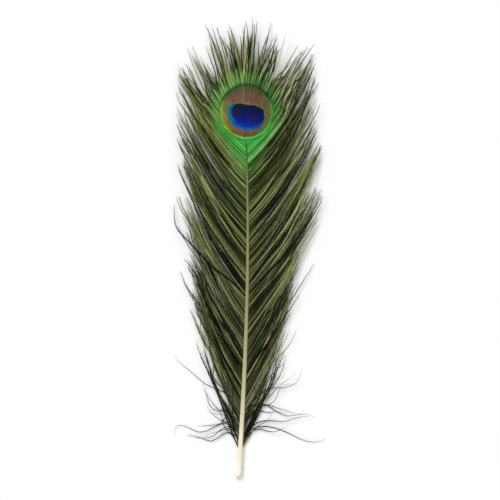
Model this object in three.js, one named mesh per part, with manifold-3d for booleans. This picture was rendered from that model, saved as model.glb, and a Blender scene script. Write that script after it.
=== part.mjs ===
// A peacock eye feather, cut short below the eye and lying face up on a flat surface.
// Millimetres, +Z up. The feather runs along +Y, from the cut end of its quill to the crown above the eye.
//
// A feather grows as one piece of keratin, so the part is one solid: the shaft, the locks of loose barbs on
// both sides of it, and the web of barbs that are hooked together round the eye, all joined in one mesh.
import * as THREE from "three";
import { mergeVertices } from "three/addons/utils/BufferGeometryUtils.js";
import Module from "manifold-3d";

const wasm = await Module();
wasm.setup();

// ---- Driving dimensions ----

// The shaft, a tapering rod with a flat underside at its cut end.
const SHAFT_LENGTH = 206;
const BUTT_WIDTH = 2.8;
const SHAFT_TIP_WIDTH = 0.7;
const SHAFT_SIDES = 8;
const SHAFT_STEPS = 30;
const CUT_SLANT = 1.1; // how far the cut end leans along the shaft, in shaft half widths
const REST_LENGTH = 24; // the straight stretch at the cut end that lies flat on the surface
const SIDE_BOW = 5; // how far the shaft swings sideways
const ARCH_HEIGHT = 6.5; // how far the middle of the shaft stands above the surface
const EYE_HEIGHT_SHARE = 0.55; // how much of that height is left under the eye

// The barbs, by their place: 0 at the lowest barb, 1 where the eye begins, 2 at the shaft's tip.
const PLACES = [0, 0.5, 1, 2];
const ROOT_Y = [15, 99, 184, SHAFT_LENGTH];
const ROOT_ANGLE = [30, 40, 50, 0]; // degrees from the shaft
const TIP_ANGLE = [17, 23, 25, 0];
const BARB_LENGTH = [54, 74, 62, 46];
const TIP_CLEARANCE = 0.45; // the barbs sink to just above the surface

// The locks, the bundles that the loose barbs lie in.
const SIDE_LOCKS = 24; // on each side below the eye
const CROWN_LOCKS = 6; // on each side of the middle one, above the eye
const LOCK_STEPS = 6;
const LOCK_SIDES = 4;
const LOCK_OVERLAP = 1.12; // how much wider each lock is at its root than its share of the shaft
const CROWN_LOCK_WIDTH = 3.4;
const LOCK_THICKNESS = 1.1;
const LOCK_ROLL = 9; // degrees that each lock leans on the next one, as tiles do
const CROWN_LOCK_START = 0.7; // where the crown's locks begin, as a share of the way to the web's edge

// The web round the eye, a thin ribbed plate of barbs that lie edge to edge.
const EYE_Y = 201;
const WEB_HALF_WIDTH = 20;
const WEB_HALF_HEIGHT = 22;
const WEB_THICKNESS = 1.1;
const WEB_RIB_HEIGHT = 0.35;
const WEB_RIBS = 26;
const WEB_STEPS = 5;
const WEB_FIRST_PLACE = 0.86;
const WEB_SLOT = 0.15; // half the slit along the shaft, which the shaft fills

// ---- Rules of growth ----

const { degToRad, lerp, smoothstep } = THREE.MathUtils;

// The value at a place between the listed stops.
function between(place, values) {
  let i = 0;
  while (i < PLACES.length - 2 && place > PLACES[i + 1]) i++;
  const share = (place - PLACES[i]) / (PLACES[i + 1] - PLACES[i]);
  return lerp(values[i], values[i + 1], share);
}

// A fixed irregularity from -0.5 to 0.5 for a numbered lock.
function stray(number) {
  const wave = Math.sin(number * 12.9898) * 43758.5453;
  return wave - Math.floor(wave) - 0.5;
}

const shaftHalfWidth = (y) => lerp(BUTT_WIDTH, SHAFT_TIP_WIDTH, y / SHAFT_LENGTH) / 2;
const flatOfOctagon = Math.cos(Math.PI / SHAFT_SIDES);

// The centre of the shaft: flat on the surface at the cut end, then one low arch.
function shaftCentre(y) {
  const rise = smoothstep(y, REST_LENGTH, SHAFT_LENGTH * 0.55);
  const fall = smoothstep(y, SHAFT_LENGTH * 0.55, SHAFT_LENGTH);
  const arch = ARCH_HEIGHT * rise * lerp(1, EYE_HEIGHT_SHARE, fall);
  const bow = SIDE_BOW * Math.sin((Math.PI * y) / (1.3 * SHAFT_LENGTH));
  return new THREE.Vector3(bow, y, shaftHalfWidth(y) * flatOfOctagon + arch);
}

// A barb's centre line: it leaves the shaft at one angle, bends towards the tip and sinks to the surface.
// Side is -1 for the left and 1 for the right; lean turns the whole barb by some degrees.
function barb(place, side, lean = 0, stretch = 1) {
  const root = shaftCentre(between(place, ROOT_Y));
  const length = between(place, BARB_LENGTH) * stretch;
  const rootAngle = degToRad(between(place, ROOT_ANGLE) + lean);
  const tipAngle = degToRad(between(place, TIP_ANGLE) + lean);
  const points = [root];
  const steps = 24;
  for (let i = 1; i <= steps; i++) {
    const t = (i - 0.5) / steps;
    const angle = side * lerp(tipAngle, rootAngle, Math.pow(1 - t, 1.4));
    const last = points[i - 1];
    const height = lerp(root.z, TIP_CLEARANCE, Math.pow(i / steps, 1.7));
    points.push(
      new THREE.Vector3(
        last.x + (Math.sin(angle) * length) / steps,
        last.y + (Math.cos(angle) * length) / steps,
        height,
      ),
    );
  }
  return new THREE.CatmullRomCurve3(points);
}

// ---- Making solids ----

// Moves every vertex of a closed geometry to its place, and hands it over as a solid for joining.
function warped(geometry, placeOf) {
  geometry.deleteAttribute("normal");
  geometry.deleteAttribute("uv");
  const position = geometry.attributes.position;
  for (let i = 0; i < position.count; i++) {
    const p = placeOf(position.getX(i), position.getY(i), position.getZ(i));
    position.setXYZ(i, p.x, p.y, p.z);
  }
  const merged = mergeVertices(geometry, 1e-4);
  return new wasm.Manifold(
    new wasm.Mesh({
      numProp: 3,
      vertProperties: merged.attributes.position.array,
      triVerts: new Uint32Array(merged.index.array),
    }),
  );
}

// A rod or blade along a curve. sizeAt(t) gives its half width and half thickness, roll leans it on its side,
// and slant shears its first end.
function rodAlong(curve, sides, steps, sizeAt, roll = 0, slant = 0) {
  const rod = new THREE.CylinderGeometry(1, 1, 1, sides, steps, false, Math.PI / sides);
  const up = new THREE.Vector3(0, 0, 1);
  return warped(rod, (x, y, z) => {
    const t = y + 0.5;
    const tangent = curve.getTangent(t);
    const across = new THREE.Vector3().crossVectors(tangent, up).normalize();
    const above = new THREE.Vector3().crossVectors(across, tangent);
    across.applyAxisAngle(tangent, roll);
    above.applyAxisAngle(tangent, roll);
    const [halfWidth, halfThickness] = sizeAt(t);
    const shear = t === 0 ? slant * x * halfWidth : 0;
    return curve
      .getPoint(t)
      .addScaledVector(across, x * halfWidth)
      .addScaledVector(above, z * halfThickness)
      .addScaledVector(tangent, shear);
  });
}

// ---- The feather's parts ----

function shaft() {
  const line = Array.from({ length: 25 }, (_, i) => shaftCentre((SHAFT_LENGTH * i) / 24));
  const curve = new THREE.CatmullRomCurve3(line);
  const sizeAt = (t) => {
    const half = shaftHalfWidth(curve.getPoint(t).y);
    return [half, half];
  };
  return rodAlong(curve, SHAFT_SIDES, SHAFT_STEPS, sizeAt, 0, CUT_SLANT);
}

// A lock is a blade, full at the shaft and drawn out to a fine tip.
function lock(number, place, side, width, fromWeb = false) {
  const lean = 5 * stray(number);
  const stretch = 1 + 0.14 * stray(number + 0.5);
  const whole = barb(place, side, lean, stretch);
  const start = fromWeb ? webEdge(whole) * CROWN_LOCK_START : 0;
  const kept = Array.from({ length: 3 * LOCK_STEPS + 1 }, (_, i) =>
    whole.getPoint(lerp(start, 1, i / (3 * LOCK_STEPS))),
  );
  const curve = new THREE.CatmullRomCurve3(kept);
  const sizeAt = (t) => {
    const taper = Math.pow(1 - t, 0.7);
    return [0.15 + (width / 2) * taper, 0.12 + (LOCK_THICKNESS / 2) * taper];
  };
  return rodAlong(curve, LOCK_SIDES, LOCK_STEPS, sizeAt, degToRad(side * LOCK_ROLL));
}

function sideLocks(side) {
  const pitch = (ROOT_Y[2] - ROOT_Y[0]) / SIDE_LOCKS;
  return Array.from({ length: SIDE_LOCKS }, (_, i) => {
    const place = (i + 0.5) / SIDE_LOCKS;
    const width = pitch * Math.sin(degToRad(between(place, ROOT_ANGLE))) * LOCK_OVERLAP;
    return lock(side * (i + 1), place, side, width);
  });
}

function crownLocks() {
  const count = 2 * CROWN_LOCKS + 1;
  return Array.from({ length: count }, (_, i) => {
    const offset = i - CROWN_LOCKS;
    const place = 2 - Math.abs(offset) / (CROWN_LOCKS + 0.5);
    const side = offset < 0 ? -1 : 1;
    return lock(100 + i, place, side, CROWN_LOCK_WIDTH, true);
  });
}

// How far along a barb the web's oval edge is crossed, from 0 to 1.
function webEdge(curve) {
  const centre = shaftCentre(EYE_Y);
  const steps = 60;
  for (let i = steps; i > 0; i--) {
    const p = curve.getPoint(i / steps);
    const x = (p.x - centre.x) / WEB_HALF_WIDTH;
    const y = (p.y - EYE_Y) / WEB_HALF_HEIGHT;
    if (x * x + y * y < 1) return i / steps;
  }
  return 1 / steps;
}

// The web is a ribbed plate with one rib for each bundle of barbs, from the left side over the shaft's tip to
// the right.
function web() {
  const plate = new THREE.BoxGeometry(1, 1, 1, WEB_RIBS, WEB_STEPS, 1);
  const ribs = Array.from({ length: WEB_RIBS + 1 }, (_, i) => {
    const across = (2 * i) / WEB_RIBS - 1;
    const place = lerp(2, WEB_FIRST_PLACE, Math.abs(across));
    const side = Math.sign(across) || 1;
    const curve = barb(place, side);
    return { curve, side: Math.sign(across), edge: webEdge(curve), ridge: i % 2 };
  });
  return warped(plate, (x, y, z) => {
    const rib = ribs[Math.round((x + 0.5) * WEB_RIBS)];
    const along = y + 0.5;
    const p = rib.curve.getPoint(along * rib.edge);
    const thin = lerp(1, 0.35, along * along);
    p.x += rib.side * WEB_SLOT * (1 - along);
    p.z += (z * WEB_THICKNESS + (z > 0 ? rib.ridge * WEB_RIB_HEIGHT : 0)) * thin;
    return p;
  });
}

// ---- One solid ----

function feather() {
  const pieces = [shaft(), web(), ...sideLocks(-1), ...sideLocks(1), ...crownLocks()];
  const joined = pieces.reduce((all, piece) => all.add(piece));
  const { vertProperties, triVerts } = joined.getMesh();
  const geometry = new THREE.BufferGeometry();
  geometry.setAttribute("position", new THREE.BufferAttribute(vertProperties, 3));
  geometry.setIndex(new THREE.BufferAttribute(triVerts, 1));
  geometry.computeVertexNormals();
  const keratin = new THREE.MeshStandardMaterial({ color: 0x4a5a2e, roughness: 0.55, metalness: 0.1 });
  const mesh = new THREE.Mesh(geometry, keratin);
  mesh.name = "feather";
  return mesh;
}

// The origin is the middle of the feather's box, on the surface it lies on.
const part = new THREE.Group();
const mesh = feather();
const box = new THREE.Box3().setFromObject(mesh);
mesh.position.set(-(box.min.x + box.max.x) / 2, -(box.min.y + box.max.y) / 2, -box.min.z);
part.add(mesh);

export default part;
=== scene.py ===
import math
from types import SimpleNamespace

import bpy
import numpy as np
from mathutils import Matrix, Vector


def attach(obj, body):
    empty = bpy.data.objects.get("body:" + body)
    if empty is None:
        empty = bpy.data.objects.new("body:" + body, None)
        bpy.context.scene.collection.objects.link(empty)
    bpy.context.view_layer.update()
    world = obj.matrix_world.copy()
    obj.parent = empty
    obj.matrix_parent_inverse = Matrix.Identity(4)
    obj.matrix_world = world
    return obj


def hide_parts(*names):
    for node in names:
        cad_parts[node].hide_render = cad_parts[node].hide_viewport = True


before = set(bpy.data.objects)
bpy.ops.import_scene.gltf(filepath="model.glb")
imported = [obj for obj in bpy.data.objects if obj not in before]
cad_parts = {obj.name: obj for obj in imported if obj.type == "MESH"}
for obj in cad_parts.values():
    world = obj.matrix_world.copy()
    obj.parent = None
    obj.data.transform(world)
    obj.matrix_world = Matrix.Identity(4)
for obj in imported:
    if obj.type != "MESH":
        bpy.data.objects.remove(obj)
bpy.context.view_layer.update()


# ---- The shaft ----
# The shaft is the tapering quill of the feather, a smooth horny rind round a white pith. It is cream at
# the cut end, then tan, and green where it runs into the eye. It was snipped off on a slant, and the barbs
# grow out of both of its sides.

MM = 0.001  # the sizes below are in millimetres
CUT_END = np.array([-6.2123, -125.0984, 0.0084])  # where the shaft's first point lies in the frame
SHAFT_LENGTH = 206.0
BUTT_WIDTH = 2.8
SHAFT_TIP_WIDTH = 0.7
REST_LENGTH = 24.0  # the flat stretch at the cut end that lies on the table
SIDE_BOW = 5.0
BOW_SPAN = 1.3 * SHAFT_LENGTH  # the side bow is part of half a wave of this length
ARCH_HEIGHT = 6.5
ARCH_TOP = 0.55 * SHAFT_LENGTH  # where along the shaft the arch is highest
EYE_HEIGHT_SHARE = 0.55  # how much of the arch's height is left at the shaft's tip
SHAFT_SQUARENESS = 2.6  # 2 is a round section, and more has flatter sides
SHAFT_FLAT = math.cos(math.pi / 8)  # how far down the flat underside is, in half widths
GROOVE_DEPTH = 0.24  # the groove in the underside, in half widths too
GROOVE_WIDTH = 0.3
GROOVE_TOP = -0.7
SHAFT_RINGS = 150
SHAFT_SIDES = 24
CUT_SLANT = 1.1  # the cut's slope across the shaft
RIND = 0.16
PITH_DEPTH = 0.35
PITH_EDGE_DEPTH = 0.6 * PITH_DEPTH
PITH_EDGE = 0.93  # the pith's sunken edge, as a share of the space in the rind
PITH_HOLLOW = 0.45  # the hollow in its middle, as a share of the cut
TIP_SHARE = 0.5  # one more ring of this share rounds the shaft's tip
TIP_REACH = 0.25
END_BULGE = 0.12


def smooth(value, low, high):
    """A smooth step from 0 to 1 as the value goes from low to high."""
    share = np.clip((value - low) / (high - low), 0.0, 1.0)
    return share * share * (3 - 2 * share)


def shaft_half_width(y):
    return (BUTT_WIDTH + (SHAFT_TIP_WIDTH - BUTT_WIDTH) * y / SHAFT_LENGTH) / 2


def shaft_centre(y):
    """The middle of the shaft at these distances from the cut end, in millimetres, one row each."""
    y = np.atleast_1d(np.asarray(y, float))
    rise = smooth(y, REST_LENGTH, ARCH_TOP)
    fall = smooth(y, ARCH_TOP, SHAFT_LENGTH)
    arch = ARCH_HEIGHT * rise * (1 + (EYE_HEIGHT_SHARE - 1) * fall)
    bow = SIDE_BOW * np.sin(math.pi * y / BOW_SPAN)
    return np.stack([bow, y, shaft_half_width(y) * SHAFT_FLAT + arch], axis=1)


def in_frame(points):
    """Millimetres from the cut end, turned into metres in the part's own frame."""
    return (points + CUT_END) * MM


def new_object(name, mesh):
    made = bpy.data.objects.new(name, mesh)
    bpy.context.scene.collection.objects.link(made)
    return made


def shaft_outline(y):
    """One ring of the shaft: a rounded back, flattish sides, and a flat underside with a groove."""
    half = shaft_half_width(y)
    turn = 2 * math.pi * (np.arange(SHAFT_SIDES) + 0.5) / SHAFT_SIDES
    across, up = np.cos(turn), np.sin(turn)
    power = SHAFT_SQUARENESS
    swell = (np.abs(across) ** power + np.abs(up) ** power) ** (-1 / power)
    across, up = across * swell, up * swell
    up = np.where(up < 0, np.maximum(up, -SHAFT_FLAT), up)
    groove = GROOVE_DEPTH * np.exp(-((across / GROOVE_WIDTH) ** 2)) * (up < GROOVE_TOP)
    return half * across, half * (up + groove)


def shaft_rings():
    """The outlines from the slanting cut to the tip, and the shaft's direction at each of them."""
    distances = SHAFT_LENGTH * np.linspace(0, 1, SHAFT_RINGS)
    centres = shaft_centre(distances)
    ahead = np.gradient(centres, distances, axis=0)
    ahead /= np.linalg.norm(ahead, axis=1)[:, None]
    rings = []
    for step, y in enumerate(distances):
        across, up = shaft_outline(y)
        side = np.cross(ahead[step], (0, 0, 1))
        side /= np.linalg.norm(side)
        above = np.cross(side, ahead[step])
        ring = centres[step] + across[:, None] * side + up[:, None] * above
        if step == 0:
            ring += (CUT_SLANT * across)[:, None] * ahead[0]
        rings.append(ring)
    return rings, ahead


def shaft_mesh():
    """The closed skin of the shaft: the sunken pith in the cut, the long sides and the rounded tip."""
    rings, ahead = shaft_rings()
    butt, middle = rings[0], rings[0].mean(axis=0)
    inner_share = 1 - RIND / shaft_half_width(0)
    rim = middle + (butt - middle) * inner_share
    pith = middle + (butt - middle) * inner_share * PITH_EDGE + PITH_EDGE_DEPTH * ahead[0]
    hollow = middle + (butt - middle) * PITH_HOLLOW + PITH_DEPTH * ahead[0]
    tip = rings[-1].mean(axis=0)
    end = tip + (rings[-1] - tip) * TIP_SHARE + TIP_REACH * ahead[-1]
    rings = [hollow, pith, rim] + rings + [end]

    verts = list(np.concatenate(rings))
    faces = []
    for ring in range(len(rings) - 1):
        for k in range(SHAFT_SIDES):
            a, b = ring * SHAFT_SIDES + k, ring * SHAFT_SIDES + (k + 1) % SHAFT_SIDES
            faces.append((a, a + SHAFT_SIDES, b + SHAFT_SIDES, b))
    for ring, way, order in ((0, ahead[0], 1), (len(rings) - 1, ahead[-1], -1)):
        centre = len(verts)
        verts.append(rings[ring].mean(axis=0) + END_BULGE * way)
        for k in range(SHAFT_SIDES):
            a, b = ring * SHAFT_SIDES + k, ring * SHAFT_SIDES + (k + 1) % SHAFT_SIDES
            faces.append((a, b, centre)[::order])
    mesh = bpy.data.meshes.new("shaft")
    mesh.from_pydata([tuple(v) for v in in_frame(np.array(verts))], [], faces)
    mesh.polygons.foreach_set("use_smooth", [True] * len(faces))
    return mesh


def srgb(red, green, blue):
    """A colour given from 0 to 255, as the linear numbers that a shader takes."""
    levels = [c / 255 for c in (red, green, blue)]
    return tuple(c / 12.92 if c <= 0.04045 else ((c + 0.055) / 1.055) ** 2.4 for c in levels) + (1.0,)


def feed(tree, socket, value):
    """Gives an input what goes in it: another node's socket, or a plain value."""
    if isinstance(value, bpy.types.NodeSocket):
        tree.links.new(value, socket)
    else:
        socket.default_value = value


def add_node(tree, kind, feeds=(), **settings):
    """Puts a node in a tree. A feed names an input and the socket or the value that goes in it."""
    node = tree.nodes.new(kind)
    for name, value in settings.items():
        setattr(node, name, value)
    live = [s for s in node.inputs if s.enabled]
    for name, value in dict(feeds).items():
        socket = live[name] if isinstance(name, int) else next(s for s in live if s.name == name)
        feed(tree, socket, value)
    return node


def out_of(tree, kind, feeds=(), **settings):
    """Puts a node in a tree, and returns the first of its outputs that is in use."""
    node = add_node(tree, kind, feeds, **settings)
    return next(s for s in node.outputs if s.enabled)


def calc(tree, operation, first, second=None):
    """One sum on numbers or sockets, as a socket."""
    feeds = {0: first} if second is None else {0: first, 1: second}
    return out_of(tree, "ShaderNodeMath", feeds, operation=operation)


def plus(tree, first, second):
    return calc(tree, "ADD", first, second)


def minus(tree, first, second):
    return calc(tree, "SUBTRACT", first, second)


def times(tree, first, second):
    return calc(tree, "MULTIPLY", first, second)


def ease(tree, value, low, high, start=0.0, end=1.0):
    """A smooth step from start to end as the value goes from low to high."""
    feeds = {"Value": value, "From Min": low, "From Max": high, "To Min": start, "To Max": end}
    return out_of(tree, "ShaderNodeMapRange", feeds, interpolation_type="SMOOTHSTEP")


def blend(tree, share, first, second, how="MIX"):
    """Two colours mixed: the first where the share is 0, the second where it is 1."""
    feeds = {"Factor": share, "A": first, "B": second}
    return out_of(tree, "ShaderNodeMix", feeds, data_type="RGBA", blend_type=how)


def ramp(tree, value, stops):
    """A row of colours along a value, from rows of a place and the red, green and blue there."""
    node = tree.nodes.new("ShaderNodeValToRGB")
    tree.links.new(value, node.inputs[0])
    elements = node.color_ramp.elements
    while len(elements) > 1:
        elements.remove(elements[-1])
    for index, (place, *colour) in enumerate(stops):
        stop = elements[0] if index == 0 else elements.new(place)
        stop.position = place
        stop.color = srgb(*colour)
    return node.outputs[0]


def noise(tree, vector, scale, detail=2.0, roughness=0.5, stretch=(1.0, 1.0, 1.0)):
    """Cloudy noise from 0 to 1 on a vector, stretched along its axes."""
    placed = out_of(tree, "ShaderNodeMapping", {"Vector": vector, "Scale": stretch})
    feeds = {"Vector": placed, "Scale": scale, "Detail": detail, "Roughness": roughness}
    return out_of(tree, "ShaderNodeTexNoise", feeds, noise_dimensions="3D")


def new_material(name):
    """A material with one Principled shader: returns it, its node tree and that shader."""
    made = bpy.data.materials.new(name)
    made.use_nodes = True
    tree = made.node_tree
    shader = next(n for n in tree.nodes if n.type == "BSDF_PRINCIPLED")
    return made, tree, shader


def horn_material():
    """Horn with fine lines along it and brownish clouds, cream at the cut and green at the eye."""
    made, tree, shader = new_material("shaft_horn")
    place = add_node(tree, "ShaderNodeTexCoord").outputs["Object"]
    parts = add_node(tree, "ShaderNodeSeparateXYZ", {"Vector": place})
    grain = noise(tree, place, 2400, 4, 0.6, (1.0, 0.03, 1.0))
    clouds = noise(tree, place, 70, 3, 0.6, (1.0, 0.5, 1.0))
    from_cut = minus(tree, parts.outputs["Y"], CUT_END[1] * MM)
    way = calc(tree, "DIVIDE", from_cut, SHAFT_LENGTH * MM)
    colour = ramp(tree, way, [
        (0.0, 240, 234, 214),
        (0.12, 226, 218, 188),
        (0.24, 186, 180, 144),
        (0.42, 150, 148, 108),
        (0.62, 128, 130, 86),
        (0.76, 110, 122, 70),
    ])
    colour = blend(tree, ease(tree, grain, 0.45, 0.75, 0.0, 0.4), colour, srgb(150, 128, 82))
    colour = blend(tree, ease(tree, clouds, 0.55, 0.75, 0.0, 0.3), colour, srgb(134, 112, 66))
    colour = blend(tree, ease(tree, way, 0.76, 0.89), colour, srgb(34, 98, 38))
    bump = out_of(tree, "ShaderNodeBump", {"Strength": 0.25, "Distance": 0.1 * MM, "Height": grain})
    feed(tree, shader.inputs["Base Color"], colour)
    feed(tree, shader.inputs["Roughness"], ease(tree, clouds, 0.3, 0.7, 0.3, 0.46))
    feed(tree, shader.inputs["Normal"], bump)
    shader.inputs["Specular IOR Level"].default_value = 0.3
    shader.inputs["Subsurface Weight"].default_value = 0.12
    shader.inputs["Subsurface Radius"].default_value = (0.0012, 0.001, 0.0007)
    shader.inputs["Subsurface Scale"].default_value = 0.5
    return made


shaft = new_object("shaft", shaft_mesh())
shaft.data.materials.append(horn_material())
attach(shaft, "root")
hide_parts("feather")


# ---- The barbs below the eye ----
# The vane is two rows of barbs, one on each side of the shaft. Each barb is a stiff hair with a fringe
# of short barbules. They grow out of the shaft at a slant, and gather in locks towards their tips.

PLACES = [0, 0.5, 1, 2]  # 0 is the lowest barb's place, 1 is the foot of the eye, 2 is the shaft's tip
ROOT_Y = [15, 99, 184, SHAFT_LENGTH]  # how far from the cut end the barbs at those places grow
ROOT_ANGLE = [30, 40, 50, 0]  # their slant away from the shaft, in degrees, at the root and at the tip
TIP_ANGLE = [17, 23, 25, 0]
BARB_LENGTH = [54, 74, 62, 46]
BARB_BEND = 1.4  # 1 bends a barb evenly, and more bends it near its root
BARB_DROOP = 1.7
TIP_CLEARANCE = 0.45
SIDE_BARBS = 212  # on each side, up to place 1
SIDE_LOCKS = 24
CROWN_LOCKS = 6  # on each side of the crown's middle lock
LOCK_LEAN = 5.0
LOCK_STRETCH = 0.14
CROWN_STRETCH = 1.1
EYE_Y = 201.0  # how far from the cut end the eye's middle is
EYE_FIRST_PLACE = 0.86  # from this place on the barbs belong to the eye's piece

chance = np.random.default_rng(27)


def stray(number):
    """A fixed draw from -0.5 to 0.5 for each number, so that the barbs of a lock get the same one."""
    wave = np.sin(number * 12.9898) * 43758.5453
    return wave - np.floor(wave) - 0.5


def barb_lines(place, side, lean, stretch, reach):
    """The centre lines of barbs, one row of points each, in millimetres from the cut end."""
    steps = reach.shape[1] - 1
    root = shaft_centre(np.interp(place, PLACES, ROOT_Y))
    length = np.interp(place, PLACES, BARB_LENGTH) * stretch
    root_angle = np.interp(place, PLACES, ROOT_ANGLE) + lean
    tip_angle = np.interp(place, PLACES, TIP_ANGLE) + lean
    middle = (np.arange(steps) + 0.5) / steps
    bend = (1 - middle) ** BARB_BEND
    angle = np.radians(tip_angle[:, None] + (root_angle - tip_angle)[:, None] * bend)
    stride = (length / steps)[:, None]
    points = np.repeat(root[:, None, :], steps + 1, axis=1)
    points[:, 1:, 0] += np.cumsum(side[:, None] * np.sin(angle) * stride, axis=1)
    points[:, 1:, 1] += np.cumsum(np.cos(angle) * stride, axis=1)
    droop = (np.arange(steps + 1) / steps) ** BARB_DROOP
    points[:, :, 2] += (TIP_CLEARANCE - root[:, 2])[:, None] * droop
    before = np.minimum((reach * steps).astype(int), steps - 1)
    past = (reach * steps - before)[:, :, None]
    row = np.arange(len(root))[:, None]
    return points[row, before] * (1 - past) + points[row, before + 1] * past


def lock_of(place, side):
    """The lock that each barb lies in: its number, and its middle line's place, lean and stretch."""
    crown = place > 1
    uneven = 0.22 * np.sin(place * 61 + side * 2) + 0.16 * np.sin(place * 23 + side)
    row = np.clip(np.floor(place * SIDE_LOCKS + uneven), 0, SIDE_LOCKS - 1)
    from_middle = np.round((2 - place) * (CROWN_LOCKS + 0.5))
    middle = np.where(crown, 2 - from_middle / (CROWN_LOCKS + 0.5), (row + 0.5) / SIDE_LOCKS)
    number = np.where(crown, 100 + CROWN_LOCKS + side * from_middle, side * (row + 1))
    stretch = (1 + LOCK_STRETCH * stray(number + 0.5)) * np.where(crown, CROWN_STRETCH, 1)
    lean = LOCK_LEAN * stray(number)
    return {"lock": number, "lock_place": middle, "lock_lean": lean, "lock_stretch": stretch}


# Some barbs stray from their locks. Near the cut more of them do, and those are short, thin and wild.
LOW_PLACE = 0.14
LOOSE_SHARE = 0.17
LOW_LOOSE_SHARE = 0.45
OWN_LEAN = 1.1
LOOSE_LEAN = 3.8
WILD_LEAN = 26.0
WILD_LEAN_SPREAD = 28.0
WILD_LEAN_LIMITS = (-12, 88)
STRETCH_SPREAD = 0.035
BROKEN_OFF = 0.22  # the most of its length that a worn barb has lost
WILD_STRETCH = (0.45, 0.95)
CROWN_TRIM = 0.15  # how much shorter a barb of the crown is, and how far that varies
CROWN_TRIM_SPREAD = 0.3


def choose_barbs(place, side, steps):
    """The barbs of one group, with what is known of each before it is laid in place."""
    low = place < LOW_PLACE
    loose = chance.random(len(place)) < np.where(low, LOW_LOOSE_SHARE, LOOSE_SHARE)
    return SimpleNamespace(
        count=len(place),
        place=place,
        side=side,
        along=np.linspace(0, 1, steps + 1)[None, :],
        root_y=np.interp(place, PLACES, ROOT_Y)[:, None],
        low=low,
        loose=loose,
        wild=low & loose,
        crown=place > 1,
        **lock_of(place, side),
    )


def lay_barbs(barbs):
    """Three lines for each barb: its own, the one it has in a perfect vane, and its lock's."""
    count, place, side, along = barbs.count, barbs.place, barbs.side, barbs.along
    lean = chance.normal(0, OWN_LEAN, count)
    lean += np.where(barbs.loose, chance.normal(0, LOOSE_LEAN, count), 0)
    wild_lean = np.clip(chance.normal(WILD_LEAN, WILD_LEAN_SPREAD, count), *WILD_LEAN_LIMITS)
    lean += np.where(barbs.wild, wild_lean, 0)
    stretch = 1 + chance.normal(0, STRETCH_SPREAD, count) - BROKEN_OFF * chance.random(count) ** 3
    stretch *= np.where(barbs.wild, chance.uniform(*WILD_STRETCH, count), 1)
    shortened = np.where(barbs.crown, CROWN_TRIM - CROWN_TRIM_SPREAD * stray(place * 977 + side), 0)
    reach = along * (1 - shortened[:, None] * smooth(along, 0.3, 1.0))
    own = barb_lines(place, side, barbs.lock_lean + lean, barbs.lock_stretch * stretch, reach)
    even = barb_lines(place, side, np.zeros(count), np.ones(count), reach)
    middle = barb_lines(barbs.lock_place, side, barbs.lock_lean, barbs.lock_stretch, reach)
    return own, even, middle


# The web is where barbules hook together and hold the barbs in line: round the eye, and by the shaft.
WEB_HALF_WIDTH = 20.0
WEB_HALF_HEIGHT = 22.0
WEB_EDGE = (0.9, 1.42)  # it ends between these shares of its half width and height
WEB_RAGGED = 0.06
SHAFT_WEB_EDGE = (4, 16)  # by the shaft it ends between these distances from it
SHAFT_WEB_GROWS = (105, 165)  # how far from the cut end it starts and ends getting firmer
SHAFT_WEB_LOW = 0.4
SHAFT_WEB_TOP = 186


def web_share(barbs, even):
    """How firmly each point of a barb is held by the web, from 0 to 1."""
    eye_x = shaft_centre(EYE_Y)[0, 0]
    aside = (even[:, :, 0] - eye_x) / WEB_HALF_WIDTH
    up = (even[:, :, 1] - EYE_Y) / WEB_HALF_HEIGHT
    ragged = WEB_RAGGED * chance.normal(0, 1, barbs.count)[:, None]
    in_eye = 1 - smooth(np.hypot(aside, up) + ragged, *WEB_EDGE)
    shaft_x = shaft_centre(even[:, :, 1].ravel())[:, 0].reshape(barbs.count, -1)
    from_shaft = np.abs(even[:, :, 0] - shaft_x)
    firmness = SHAFT_WEB_LOW + (1 - SHAFT_WEB_LOW) * smooth(barbs.root_y, *SHAFT_WEB_GROWS)
    near_shaft = (1 - smooth(from_shaft, *SHAFT_WEB_EDGE)) * firmness
    return np.maximum(in_eye, near_shaft * (barbs.root_y < SHAFT_WEB_TOP))


GATHERED_PART = (0.42, 1.08)  # the shares of its length between which a barb is drawn into its lock
LOCK_PULL = 0.6
LOCK_PULL_SPREAD = 0.42
OWN_PULL = (0.5, 1.1)


def gather(barbs, lines, middle, free):
    """Draws the barbs together in their locks towards the tips, some more than others."""
    lock_pull = LOCK_PULL + LOCK_PULL_SPREAD * stray(barbs.lock + 0.25)
    pull = lock_pull * chance.uniform(*OWN_PULL, barbs.count)
    share = smooth(barbs.along, *GATHERED_PART) * free * np.where(barbs.loose, 0.0, pull)[:, None]
    return lines + (middle - lines) * share[:, :, None]


TURN = 6.3  # about a full turn, in radians
WILD_SWAY = 3.6
LOW_SWAY = 2.6
VANE_SWAY = 1.0
CROWN_SWAY = 0.5
KINK = 0.14
CROWN_KINK = 0.35  # the crown's kinks and own curls as shares of the vane's
CROWN_OWN_CURL = 0.7
OWN_CURL = 1.6
LOCK_CURL = 3.2
CROWN_LOCK_CURL = 2.2
CROWN_SPREAD_CURL = 1.6  # the crown's barbs curl outwards


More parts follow.
